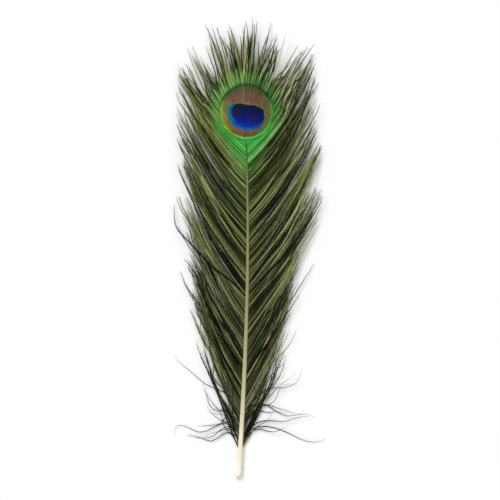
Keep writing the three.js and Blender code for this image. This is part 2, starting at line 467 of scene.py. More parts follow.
def bends(barbs, free):
    """How far each point is bent aside: by a slow wave, by small kinks and by a curl at the tip."""
    count, along, crown = barbs.count, barbs.along, barbs.crown
    swing = smooth(along, 0.1, 1.0) * free
    most = np.select([barbs.wild, barbs.low, crown], [WILD_SWAY, LOW_SWAY, CROWN_SWAY], VANE_SWAY)
    sway = (chance.normal(0, 1, count) * most)[:, None]
    phase = (chance.random(count) * TURN)[:, None]
    turns = chance.uniform(0.5, 1.5, count)[:, None]
    wave = sway * np.sin(phase + TURN * turns * along) * swing
    kink = KINK * np.sin(phase * 3 + TURN * (turns * 7 + 4) * along) * swing
    kink = kink * np.where(crown, CROWN_KINK, 1)[:, None]
    own_curl = chance.normal(0, OWN_CURL, count) * np.where(crown, CROWN_OWN_CURL, 1)
    lock_curl = LOCK_CURL * stray(barbs.lock + 0.75) * np.where(crown, CROWN_LOCK_CURL, 1)
    curl = own_curl + lock_curl + np.where(crown, CROWN_SPREAD_CURL * barbs.side, 0)
    return wave + kink + curl[:, None] * along**3 * free


LIFT = 2.6
LAYERS = 7
LAYER_HEIGHT = 0.09
TABLE_GAP = 0.16
COVER_ROOTS = (178, 192)  # between these the roots move from the shaft's sides to its face
SIDE_SEAT = 0.75  # how far out on the shaft a root on its side sits, in half widths
FACE_SEAT = 0.9  # how far up one on its face sits
FACE_GAP = 0.35
VANE_HALF_WIDTH = 42.0  # no barb strays further than this from the middle of the frame
VANE_SLACK = 6.0


def lift(barbs, free):
    """How far each point stands up from the vane, with the barbs of a lock lying on each other."""
    own = (chance.random(barbs.count) ** 1.5 * LIFT)[:, None] * smooth(barbs.along, 0.25, 1.0) * free
    layer = (np.arange(barbs.count) % LAYERS) * LAYER_HEIGHT
    return own + layer[:, None] * free


def fit_barbs(barbs, lines):
    """Seats the roots on the shaft, and keeps the barbs off the table and inside the vane's width."""
    along = barbs.along
    half = shaft_half_width(barbs.root_y)
    cover = smooth(barbs.root_y, *COVER_ROOTS)
    lines[:, :, 0] += barbs.side[:, None] * half * SIDE_SEAT * (1 - cover) * (1 - along) ** 6
    lines[:, :, 2] += (half * FACE_SEAT + FACE_GAP) * cover * (1 - smooth(along, 0.0, 0.6))
    lines[:, :, 2] = np.maximum(lines[:, :, 2], TABLE_GAP)
    off = lines[:, :, 0] + CUT_END[0]
    start = VANE_HALF_WIDTH - VANE_SLACK
    eased = start + VANE_SLACK * np.tanh((np.abs(off) - VANE_HALF_WIDTH + VANE_SLACK) / VANE_SLACK)
    off = np.where(np.abs(off) > start, np.sign(off) * eased, off)
    lines[:, :, 0] = off - CUT_END[0]


def spacing(barbs, even, across):
    """How far apart the barbs of a side would lie in a perfect vane, at each of their points."""
    apart = np.zeros(even.shape[:2])
    for hand in np.unique(barbs.side):
        rows = np.flatnonzero(barbs.side == hand)
        gap = np.diff(even[rows], axis=0)
        apart[rows[:-1]] = np.abs(np.sum(gap * across[rows[:-1]], axis=2))
        apart[rows[-1]] = apart[rows[-2]]
    return apart


BARB_HALF_WIDTH = 0.29
BARB_HALF_THICKNESS = 0.1
WEB_HALF_THICKNESS = 0.06
WEB_OVERLAP = 0.62  # a barb's half width in the web, as a share of the distance to the next one
WEB_WIDTH_LIMITS = (0.18, 0.8)
WEB_ROLL = 11.0  # the degrees by which the barbs in the web are turned, like slats
BARBULE_LENGTH = 1.2
TIP_TAPER = 0.25  # a barb's tip and its last barbules, as shares of what they are further in
FRINGE_TAPER = 0.1
WIDTH_SPREAD = 0.12
ROLL_SPREAD = 0.35
WILD_WIDTH = 0.6  # what the barbs near the cut have of the width and fringe of the others
WILD_FRINGE = 0.3
LOW_FRINGE = 0.7


def barb_sizes(barbs, web, apart):
    """How wide, thick, turned and fringed each barb is at each of its points."""
    along = barbs.along
    taper = TIP_TAPER + (1 - TIP_TAPER) * (1 - along**3)
    thin = BARB_HALF_WIDTH * taper * (1 + WIDTH_SPREAD * chance.normal(0, 1, barbs.count))[:, None]
    thin = thin * np.where(barbs.wild, WILD_WIDTH, 1)[:, None]
    wide = np.maximum(np.clip(apart * WEB_OVERLAP, *WEB_WIDTH_LIMITS), thin)
    thickness = BARB_HALF_THICKNESS * taper
    turned = barbs.side[:, None] * (np.radians(WEB_ROLL) * web)
    fringe = BARBULE_LENGTH * (1 - web) * smooth(along, 0.0, 0.06) * (1 - (1 - FRINGE_TAPER) * along**3)
    fringe = fringe * np.select([barbs.wild, barbs.low], [WILD_FRINGE, LOW_FRINGE], 1.0)[:, None]
    return {
        "half_width": (thin + (wide - thin) * web) * MM,
        "half_thickness": (thickness + (WEB_HALF_THICKNESS - thickness) * web) * MM,
        "roll": turned + (1 - web) * chance.normal(0, ROLL_SPREAD, barbs.count)[:, None],
        "fringe": fringe * MM,
    }


# A barb's tone comes from itself, from its pair of neighbours, from the vane's stripes and its lock.
OWN_TONE = 0.34
PAIR_TONE = 0.28
STRIPE_TONE = 0.3
LOCK_TONE = 0.08
TONE_CONTRAST = 1.45
WILD_TONE = 0.5
LOCK_HUE = 0.6


def barb_tones(barbs):
    """How pale each barb is and how green or yellow, from 0 to 1."""
    place, side = barbs.place, barbs.side
    own = smooth(chance.random(barbs.count), 0.1, 0.9)
    pair = smooth(stray(np.floor(place * SIDE_BARBS / 2) + 0.3 * side) + 0.5, 0.1, 0.9)
    stripe = np.cumsum(stray(place * 613 + side) > -0.3) % 2
    lock = stray(barbs.lock + 0.6) + 0.5
    tone = OWN_TONE * own + PAIR_TONE * pair + STRIPE_TONE * stripe + LOCK_TONE * lock
    tone = np.clip(0.5 + TONE_CONTRAST * (tone - 0.5), 0, 1) * np.where(barbs.wild, WILD_TONE, 1)
    hue = LOCK_HUE * (stray(barbs.lock + 0.4) + 0.5) + (1 - LOCK_HUE) * chance.random(barbs.count)
    return {"tone": tone[:, None], "hue": hue[:, None]}


def grow_barbs(place, side, steps):
    """Lays a group of barbs in place: their centre lines, and the measures that go with the points."""
    barbs = choose_barbs(place, side, steps)
    own, even, middle = lay_barbs(barbs)
    web = web_share(barbs, even)
    held = np.maximum.accumulate(web[:, ::-1], axis=1)[:, ::-1]
    free = 1 - held
    lines = own + (even - own) * held[:, :, None]
    lines = gather(barbs, lines, middle, free)
    ahead = np.gradient(lines, axis=1)
    ahead /= np.linalg.norm(ahead, axis=2)[:, :, None]
    across = np.stack([ahead[:, :, 1], -ahead[:, :, 0], np.zeros_like(held)], axis=2)
    lines = lines + across * bends(barbs, free)[:, :, None]
    lines[:, :, 2] += lift(barbs, free)
    fit_barbs(barbs, lines)
    measures = barb_sizes(barbs, web, spacing(barbs, even, across))
    measures.update(barb_tones(barbs))
    strides = np.linalg.norm(np.diff(lines, axis=1), axis=2)
    measures["run"] = np.concatenate([np.zeros((barbs.count, 1)), np.cumsum(strides, axis=1)], axis=1)
    measures["along"] = barbs.along
    measures["root"] = barbs.root_y / SHAFT_LENGTH
    return lines, measures


def line_mesh(name, lines, measures):
    """The centre lines as loose edges, with every measure kept on their points."""
    count, points = lines.shape[:2]
    mesh = bpy.data.meshes.new(name)
    first = np.arange(count * points).reshape(count, points)
    edges = np.stack([first[:, :-1].ravel(), first[:, 1:].ravel()], axis=1)
    mesh.from_pydata([tuple(v) for v in in_frame(lines).reshape(-1, 3)], [tuple(e) for e in edges], [])
    for key, values in measures.items():
        held = mesh.attributes.new(key, "FLOAT", "POINT")
        everywhere = np.broadcast_to(values, (count, points))
        held.data.foreach_set("value", everywhere.astype(np.float32).ravel())
    return mesh


def new_group(name, kind, takes, gives):
    """An empty node group with named inputs and outputs: returns it and its inputs' sockets."""
    tree = bpy.data.node_groups.new(name, kind)
    for label, socket in takes.items():
        tree.interface.new_socket(label, in_out="INPUT", socket_type=socket)
    for label, socket in gives.items():
        tree.interface.new_socket(label, in_out="OUTPUT", socket_type=socket)
    return tree, tree.nodes.new("NodeGroupInput").outputs


def give_out(tree, results):
    """Ends a node group: each result goes to the output of that name."""
    leave = tree.nodes.new("NodeGroupOutput")
    for name, value in results.items():
        tree.links.new(value, leave.inputs[name])


def measure(tree, name, kind="FLOAT"):
    """What was kept under this name on the points."""
    return out_of(tree, "GeometryNodeInputNamedAttribute", {"Name": name}, data_type=kind)


def keep(tree, geometry, name, value, kind="FLOAT"):
    """The geometry with a value kept on its points."""
    feeds = {"Geometry": geometry, "Name": name, "Value": value}
    return out_of(tree, "GeometryNodeStoreNamedAttribute", feeds, data_type=kind, domain="POINT")


def arrows(tree, operation, first, second):
    """One sum on vectors, as a socket."""
    name = "Scale" if operation == "SCALE" else 1
    return out_of(tree, "ShaderNodeVectorMath", {0: first, name: second}, operation=operation)


BARBULE_SPACING = 0.36
BARBULE_WIDTH = 0.11
BARBULE_ANGLE = 36.0
BARBULE_FLATNESS = 0.6
BARBULE_SEAT = 0.7  # how far out on the barb they grow, in half widths
BARBULE_LENGTHS = (0.75, 1.2)  # as shares of the fringe's length there
SHORTEST_FRINGE = 0.15
AIM_WOBBLE = ((-0.22, -0.22, -0.16), (0.22, 0.22, 0.3))  # how far each may stray from its direction


def rods_along(tree, curve):
    """A thin four-sided rod along each line, pushed out to both sides to the barb's own width."""
    profile = out_of(tree, "GeometryNodeCurvePrimitiveCircle", {"Resolution": 4, "Radius": 1.0})
    thickness = measure(tree, "half_thickness")
    feeds = {"Curve": curve, "Profile Curve": profile, "Scale": thickness, "Fill Caps": True}
    rods = out_of(tree, "GeometryNodeCurveToMesh", feeds)
    across = measure(tree, "across", "FLOAT_VECTOR")
    position = out_of(tree, "GeometryNodeInputPosition")
    from_centre = arrows(tree, "SUBTRACT", position, measure(tree, "centre", "FLOAT_VECTOR"))
    out = arrows(tree, "DOT_PRODUCT", from_centre, across)
    rods = keep(tree, rods, "off_middle", calc(tree, "DIVIDE", out, thickness))
    widen = minus(tree, measure(tree, "half_width"), thickness)
    shift = arrows(tree, "SCALE", across, times(tree, measure(tree, "off_middle"), widen))
    rods = out_of(tree, "GeometryNodeSetPosition", {"Geometry": rods, "Offset": shift})
    return out_of(tree, "GeometryNodeSetShadeSmooth", {"Geometry": rods, "Shade Smooth": True})


def fringe_along(tree, given, points, spike, hand):
    """The barbules on one edge of the barbs: spikes that slant forwards and out, no two alike."""
    across = measure(tree, "across", "FLOAT_VECTOR")
    angle = calc(tree, "RADIANS", given["Barbule Angle"])
    forward = arrows(tree, "SCALE", measure(tree, "ahead", "FLOAT_VECTOR"), calc(tree, "COSINE", angle))
    sideways = arrows(tree, "SCALE", across, times(tree, calc(tree, "SINE", angle), hand))
    least, most = AIM_WOBBLE
    feeds = {"Min": least, "Max": most, "Seed": given["Seed"]}
    wobble = out_of(tree, "FunctionNodeRandomValue", feeds, data_type="FLOAT_VECTOR")
    aim = arrows(tree, "ADD", arrows(tree, "ADD", forward, sideways), wobble)
    feeds = {"Primary Axis": aim, "Secondary Axis": across}
    turn = out_of(tree, "FunctionNodeAxesToRotation", feeds, primary_axis="Z", secondary_axis="X")
    shortest, longest = BARBULE_LENGTHS
    feeds = {"Min": shortest, "Max": longest, "Seed": plus(tree, given["Seed"], hand)}
    length = out_of(tree, "FunctionNodeRandomValue", feeds, data_type="FLOAT")
    fringe = measure(tree, "fringe")
    flat = times(tree, given["Barbule Width"], BARBULE_FLATNESS)
    feeds = {"X": given["Barbule Width"], "Y": flat, "Z": times(tree, fringe, length)}
    size = out_of(tree, "ShaderNodeCombineXYZ", feeds)
    edge = arrows(tree, "SCALE", across, times(tree, measure(tree, "half_width"), BARBULE_SEAT * hand))
    seats = out_of(tree, "GeometryNodeSetPosition", {"Geometry": points, "Offset": edge})
    seats = keep(tree, seats, "barbule", 1.0)
    feeds = {0: fringe, 1: SHORTEST_FRINGE * MM}
    grows = out_of(tree, "FunctionNodeCompare", feeds, data_type="FLOAT", operation="GREATER_THAN")
    feeds = {"Points": seats, "Selection": grows, "Instance": spike, "Rotation": turn, "Scale": size}
    return out_of(tree, "GeometryNodeInstanceOnPoints", feeds)


def barb_growth():
    """Geometry nodes that turn centre lines into barbs: a flat rod along each, and its barbules."""
    takes = {
        "Lines": "NodeSocketGeometry",
        "Barbule Spacing": "NodeSocketFloat",
        "Barbule Width": "NodeSocketFloat",
        "Barbule Angle": "NodeSocketFloat",
        "Seed": "NodeSocketInt",
        "Material": "NodeSocketMaterial",
    }
    tree, given = new_group("grown barbs", "GeometryNodeTree", takes, {"Barbs": "NodeSocketGeometry"})
    curve = out_of(tree, "GeometryNodeMeshToCurve", {"Mesh": given["Lines"]})
    curve = out_of(tree, "GeometryNodeSetCurveNormal", {"Curve": curve}, mode="Z_UP")
    feeds = {"Curve": curve, "Tilt": measure(tree, "roll")}
    curve = out_of(tree, "GeometryNodeSetCurveTilt", feeds)
    for name, source in (("across", "Normal"), ("ahead", "Tangent"), ("centre", "Position")):
        curve = keep(tree, curve, name, out_of(tree, "GeometryNodeInput" + source), "FLOAT_VECTOR")
    pieces = [rods_along(tree, curve)]

    feeds = {"Curve": curve, "Length": given["Barbule Spacing"]}
    points = out_of(tree, "GeometryNodeResampleCurve", feeds, mode="LENGTH")
    feeds = {"Vertices": 3, "Radius Top": 0.0, "Radius Bottom": 1.0, "Depth": 1.0}
    spike = out_of(tree, "GeometryNodeMeshCone", feeds)
    for hand in (-1.0, 1.0):
        pieces.append(fringe_along(tree, given, points, spike, hand))
    joined = tree.nodes.new("GeometryNodeJoinGeometry")
    for piece in pieces:
        tree.links.new(piece, joined.inputs[0])
    whole = out_of(tree, "GeometryNodeRealizeInstances", {"Geometry": joined.outputs[0]})
    feeds = {"Geometry": whole, "Material": given["Material"]}
    give_out(tree, {"Barbs": out_of(tree, "GeometryNodeSetMaterial", feeds)})
    return tree


growth_tree = barb_growth()


def grown(name, lines, measures, seed, material):
    """Runs the growth on a group's lines, and returns the plain mesh object that comes out."""
    values = {
        "Barbule Spacing": BARBULE_SPACING * MM,
        "Barbule Width": BARBULE_WIDTH * MM,
        "Barbule Angle": BARBULE_ANGLE,
        "Seed": seed,
        "Material": material,
    }
    made = new_object(name, line_mesh(name, lines, measures))
    growth = made.modifiers.new("growth", "NODES")
    growth.node_group = growth_tree
    for item in growth_tree.interface.items_tree:
        if item.in_out == "INPUT" and item.name in values:
            growth[item.identifier] = values[item.name]
    state = bpy.context.evaluated_depsgraph_get()
    state.update()
    evaluated = made.evaluated_get(state)
    mesh = bpy.data.meshes.new_from_object(evaluated, preserve_all_data_layers=True, depsgraph=state)
    made.modifiers.remove(growth)
    for left_over in ("across", "ahead", "centre", "half_width", "half_thickness", "roll", "fringe"):
        if left_over in mesh.attributes:
            mesh.attributes.remove(mesh.attributes[left_over])
    mesh.name = name
    made.data = mesh
    return made


# The eye's rings, in millimetres from the eye's middle: a blue heart, flat above, round below and
# tilted, in a copper disc, with a lime ring and a dark green one round it.
EYE_ASIDE = 0.8  # how far the eye's middle lies to the right of the shaft's
DISC_HALF_WIDTH = 13.3
DISC_HALF_HEIGHT = 13.7
HEART_ASIDE = 0.6
HEART_DROP = 1.4
HEART_TILT = 0.135
HEART_HALF_WIDTH = 10.3
HEART_TOP = 5.7
HEART_BOTTOM = 8.3
FLANK_POWER = 2.5  # 1 is a straight outline, 2 is a round one, and more is squarer
TOP_POWER = 5.4
BOTTOM_POWER = 1.7
VEE_SLOPE = 1.28  # how steeply the green below the disc follows the slant of the barbs


def share_power(tree, value, size, power):
    """A value as a share of a size, raised to a power."""
    return calc(tree, "POWER", calc(tree, "DIVIDE", value, size), power)


def place_in_eye(tree, given):
    """Where a point lies in the eye. Each barb's own shift and a slow shake make the rings uneven."""
    parts = add_node(tree, "ShaderNodeSeparateXYZ", {"Vector": given["Vector"]})
    shake = minus(tree, noise(tree, given["Vector"], 0.35, 2), 0.5)
    shift = minus(tree, given["Tone"], 0.5)
    aside = plus(tree, parts.outputs["X"], times(tree, shake, 1.6))
    up = plus(tree, parts.outputs["Y"], times(tree, shift, 0.4))
    up = plus(tree, up, times(tree, shake, 1.2))
    spread = calc(tree, "ABSOLUTE", aside)
    wide = share_power(tree, spread, DISC_HALF_WIDTH, 2.0)
    high = share_power(tree, calc(tree, "ABSOLUTE", up), DISC_HALF_HEIGHT, 2.0)

    heart_aside = plus(tree, aside, HEART_ASIDE)
    heart_spread = calc(tree, "ABSOLUTE", heart_aside)
    heart_up = plus(tree, plus(tree, up, HEART_DROP), times(tree, heart_aside, HEART_TILT))
    over = calc(tree, "MAXIMUM", heart_up, 0.0)
    under = calc(tree, "MAXIMUM", times(tree, heart_up, -1.0), 0.0)
    top = share_power(tree, over, HEART_TOP, TOP_POWER)
    bottom = share_power(tree, under, HEART_BOTTOM, BOTTOM_POWER)
    flank = share_power(tree, heart_spread, HEART_HALF_WIDTH, FLANK_POWER)
    return SimpleNamespace(
        vector=given["Vector"],
        flicker=given["Flicker"],
        aside=aside,
        up=up,
        spread=spread,
        disc=calc(tree, "SQRT", plus(tree, wide, high)),
        heart_aside=heart_aside,
        heart_spread=heart_spread,
        heart_up=heart_up,
        heart=plus(tree, plus(tree, top, bottom), flank),
        grown_at=minus(tree, up, times(tree, spread, VEE_SLOPE)),
    )


def copper_colour(tree, eye):
    """The disc: gold at the left, green at the right, with reddish and mauve blotches and streaks."""
    copper = ramp(tree, plus(tree, calc(tree, "DIVIDE", eye.up, 2 * DISC_HALF_HEIGHT), 0.5), [
        (0.0, 112, 102, 56),
        (0.25, 150, 116, 52),
        (0.48, 170, 132, 54),
        (0.62, 138, 96, 70),
        (0.8, 116, 92, 73),
        (1.0, 84, 92, 62),
    ])
    copper = blend(tree, ease(tree, eye.aside, 4.0, 11.0, 0.0, 0.8), copper, srgb(104, 124, 64))
    gold = times(tree, ease(tree, eye.aside, -6.0, -11.0), ease(tree, eye.up, 9.0, 2.0))
    copper = blend(tree, times(tree, gold, 0.75), copper, srgb(160, 152, 54))
    blotch = noise(tree, eye.vector, 0.45, 2, 0.5, (1.0, 0.5, 1.0))
    upper = times(tree, ease(tree, eye.up, 0.0, 5.0), ease(tree, eye.up, 13.0, 8.0))
    reddish = times(tree, upper, ease(tree, blotch, 0.5, 0.62, 0.0, 0.35))
    copper = blend(tree, reddish, copper, srgb(152, 78, 50))
    mauve = times(tree, upper, ease(tree, blotch, 0.46, 0.34, 0.0, 0.45))
    copper = blend(tree, mauve, copper, srgb(138, 112, 104))
    streak = noise(tree, eye.vector, 1.2, 3, 0.6, (1.0, 0.1, 1.0))
    copper = blend(tree, ease(tree, streak, 0.46, 0.7, 0.0, 0.7), copper, srgb(90, 50, 38))
    return blend(tree, ease(tree, streak, 0.42, 0.26, 0.0, 0.5), copper, srgb(184, 140, 116))


def blue_colour(tree, eye):
    """The heart: bright blue below and nearly black above, with two violet lobes and a greenish rim."""
    depth = calc(tree, "DIVIDE", plus(tree, eye.heart_up, 1.7), 7.6)
    blue = ramp(tree, plus(tree, times(tree, depth, 0.5), 0.5), [
        (0.0, 12, 98, 196),
        (0.14, 8, 66, 186),
        (0.36, 8, 40, 154),
        (0.6, 10, 28, 112),
        (0.82, 8, 28, 70),
        (0.92, 8, 32, 50),
        (1.0, 6, 36, 38),
    ])
    lobe_aside = minus(tree, eye.heart_spread, 4.6)
    lobe_up = plus(tree, plus(tree, eye.heart_up, 0.8), times(tree, eye.heart_aside, 0.2))
    squares = plus(tree, times(tree, lobe_aside, lobe_aside), times(tree, lobe_up, lobe_up))
    from_lobe = calc(tree, "SQRT", squares)
    blue = blend(tree, ease(tree, from_lobe, 4.2, 0.8, 0.0, 0.75), blue, srgb(46, 30, 70))
    left = times(tree, ease(tree, eye.aside, -4.0, -8.8), ease(tree, eye.heart, 0.34, 0.76))
    low = times(tree, ease(tree, eye.heart_up, 0.3, -6.2), ease(tree, eye.aside, 9.5, 3.0, 0.25, 1.0))
    at_rim = calc(tree, "MAXIMUM", left, times(tree, low, ease(tree, eye.heart, 0.58, 0.98)))
    rim = blend(tree, ease(tree, eye.heart_up, -6.7, 1.3), srgb(24, 108, 184), srgb(44, 138, 140))
    return blend(tree, at_rim, blue, rim)


def disc_colour(tree, eye):
    """The heart in the copper disc, and the pale edge between them at the upper right."""
    out = ease(tree, eye.heart, 0.96, 1.12)
    inner = blend(tree, out, blue_colour(tree, eye), copper_colour(tree, eye))
    reach = ease(tree, eye.heart_aside, 5.0, 9.0, 2.6, 1.4)
    pale = times(tree, ease(tree, eye.heart, 0.98, 1.12), ease(tree, eye.heart, reach, 1.1))
    above = ease(tree, eye.heart_up, -3.7, 2.3)
    upper_right = times(tree, above, ease(tree, eye.aside, -5.0, 0.0, 0.0, 0.6))
    return blend(tree, times(tree, pale, upper_right), inner, srgb(148, 138, 124))


def lime_colour(tree, eye, lower):
    """The narrow ring round the disc: lime at the left and below, dull green at the right and above."""
    lime = blend(tree, ease(tree, eye.aside, 2.0, -11.0), srgb(110, 226, 114), srgb(164, 202, 68))
    right = times(tree, ease(tree, eye.aside, 6.0, 12.0, 0.0, 0.7), ease(tree, eye.up, -9.0, -3.0))
    lime = blend(tree, right, lime, srgb(84, 150, 62))
    lime = blend(tree, ease(tree, eye.flicker, 0.46, 0.64, 0.0, 0.6), lime, srgb(62, 158, 66))
    return blend(tree, lower, srgb(62, 96, 50), lime)


def halo_colour(tree, eye):
    """The green that fades out round the rings, with pale and dark flecks on its barbs."""
    halo = ramp(tree, minus(tree, eye.disc, 1.0), [
        (0.0, 70, 146, 66),
        (0.22, 54, 118, 56),
        (0.5, 82, 138, 62),
        (0.95, 94, 116, 52),
    ])
    bright = times(tree, ease(tree, eye.aside, -1.0, -10.0, 0.0, 0.7), ease(tree, eye.disc, 1.7, 1.2))
    halo = blend(tree, bright, halo, srgb(108, 166, 82))
    halo = blend(tree, ease(tree, eye.flicker, 0.5, 0.68, 0.0, 0.85), halo, srgb(150, 186, 92))
    return blend(tree, ease(tree, eye.flicker, 0.46, 0.3, 0.0, 0.75), halo, srgb(32, 62, 30))


def vee_colour(tree, eye):
    """The green below the rings, which runs down the shaft in the shape of a V and turns to olive."""
    vee = ramp(tree, ease(tree, eye.grown_at, -20.0, -46.0), [
        (0.0, 64, 204, 84),
        (0.3, 66, 162, 66),
        (0.6, 80, 116, 46),
        (1.0, 82, 92, 42),
    ])
    vee = blend(tree, ease(tree, eye.flicker, 0.5, 0.66, 0.0, 0.6), vee, srgb(146, 196, 106))
    return blend(tree, ease(tree, eye.flicker, 0.44, 0.28, 0.0, 0.6), vee, srgb(30, 76, 34))


def eye_mask(tree, eye):
    """Where the eye's colours replace the loose barbs': round the disc, above it and down the V."""
    around = ease(tree, eye.disc, 1.75, 1.25)
    above = times(tree, ease(tree, eye.up, 29.0, 17.0), ease(tree, eye.up, 0.0, 8.0))
    above = times(tree, above, ease(tree, eye.spread, 19.0, 9.0))
    around = calc(tree, "MAXIMUM", around, above)
    below = times(tree, ease(tree, eye.grown_at, -50.0, -34.0), ease(tree, eye.up, -6.0, -12.0))
    below = times(tree, below, ease(tree, eye.spread, 15.0, 9.0))
    return calc(tree, "MAXIMUM", around, below)


def eye_rings_group():
    """The eye's colours by the place in it in millimetres, where they show, and where the rings end."""
    takes = {"Vector": "NodeSocketVector", "Tone": "NodeSocketFloat", "Flicker": "NodeSocketFloat"}
    gives = {"Color": "NodeSocketColor", "Mask": "NodeSocketFloat", "Out of Ring": "NodeSocketFloat"}
    tree, given = new_group("eye rings", "ShaderNodeTree", takes, gives)
    eye = place_in_eye(tree, given)
    lower = ease(tree, eye.up, 10.0, 1.0)
    dark = blend(tree, lower, srgb(20, 48, 22), srgb(44, 146, 58))
    colour = blend(tree, ease(tree, eye.up, -3.0, -11.0), halo_colour(tree, eye), vee_colour(tree, eye))
    colour = blend(tree, ease(tree, eye.disc, 1.2, 1.1), colour, dark)
    colour = blend(tree, ease(tree, eye.disc, 1.12, 1.07), colour, lime_colour(tree, eye, lower))
    colour = blend(tree, ease(tree, eye.disc, 0.985, 1.03), disc_colour(tree, eye), colour)
    outside = ease(tree, eye.disc, 1.06, 1.4)
    give_out(tree, {"Color": colour, "Mask": eye_mask(tree, eye), "Out of Ring": outside})
    return tree


def barb_colour_group():
    """The loose barbs' colour, from each barb's own tone, how far along it is and where it grows."""
    takes = {"Vector": "NodeSocketVector"}
    for label in ("Tone", "Hue", "Along", "Root", "Flicker"):
        takes[label] = "NodeSocketFloat"
    tree, given = new_group("barb colour", "ShaderNodeTree", takes, {"Color": "NodeSocketColor"})
    root, along = given["Root"], given["Along"]
    patch = noise(tree, given["Vector"], 0.09, 3, 0.6)
    mood = plus(tree, given["Tone"], times(tree, minus(tree, patch, 0.5), 0.4))
    mood = plus(tree, mood, times(tree, minus(tree, given["Flicker"], 0.5), 0.9))
    low = ramp(tree, mood, [
        (0.0, 16, 26, 14),
        (0.35, 32, 48, 24),
        (0.6, 60, 72, 38),
        (0.8, 104, 114, 62),
        (1.0, 172, 176, 116),
    ])
    high = ramp(tree, mood, [
        (0.0, 18, 32, 14),
        (0.35, 34, 56, 24),
        (0.6, 62, 86, 38),
        (0.8, 106, 130, 62),
        (1.0, 168, 184, 112),
    ])
    colour = blend(tree, ease(tree, root, 0.35, 0.85), low, high)
    mustard = times(tree, ease(tree, given["Hue"], 0.56, 0.82), ease(tree, root, 0.3, 0.95, 0.25, 0.75))
    colour = blend(tree, mustard, colour, blend(tree, mood, srgb(50, 50, 12), srgb(150, 146, 56)))
    bottle = ease(tree, given["Hue"], 0.42, 0.16, 0.0, 0.6)
    colour = blend(tree, bottle, colour, blend(tree, mood, srgb(14, 36, 20), srgb(110, 140, 88)))
    brown = times(tree, ease(tree, patch, 0.54, 0.7, 0.0, 0.55), ease(tree, root, 0.9, 0.4))
    colour = blend(tree, brown, colour, blend(tree, mood, srgb(34, 22, 22), srgb(140, 120, 96)))
    colour = blend(tree, ease(tree, along, 0.1, 0.0, 0.0, 0.3), colour, srgb(150, 146, 92))
    tip = blend(tree, ease(tree, root, 0.3, 0.8), srgb(112, 108, 66), srgb(104, 114, 56))
    colour = blend(tree, ease(tree, along, 0.4, 1.0, 0.0, 0.45), colour, tip)
    give_out(tree, {"Color": colour})
    return tree


BARBULE_PITCH = 0.32  # from one barbule to the next where they lie flat on a barb
BARBULE_SLANT = 0.55  # how far back they are at the barb's edges


def barbule_lines_group():
    """Fine slanting lines across a barb, as a height: its barbules, lying side by side."""
    takes = {"Run": "NodeSocketFloat", "Off Middle": "NodeSocketFloat", "Pitch": "NodeSocketFloat"}
    tree, given = new_group("barbule lines", "ShaderNodeTree", takes, {"Height": "NodeSocketFloat"})
    slant = times(tree, calc(tree, "ABSOLUTE", given["Off Middle"]), BARBULE_SLANT)
    turns = calc(tree, "DIVIDE", minus(tree, given["Run"], slant), given["Pitch"])
    give_out(tree, {"Height": calc(tree, "SINE", times(tree, turns, 2 * math.pi))})
    return tree


eye_rings = eye_rings_group()
barb_colour = barb_colour_group()
barbule_lines = barbule_lines_group()
eye_middle = in_frame(shaft_centre(EYE_Y))[0] + np.array([EYE_ASIDE, 0, 0]) * MM


def kept_on_barb(tree, name):
    """A measure that the growth left on the mesh, as a number."""
    return add_node(tree, "ShaderNodeAttribute", (), attribute_name=name).outputs["Fac"]


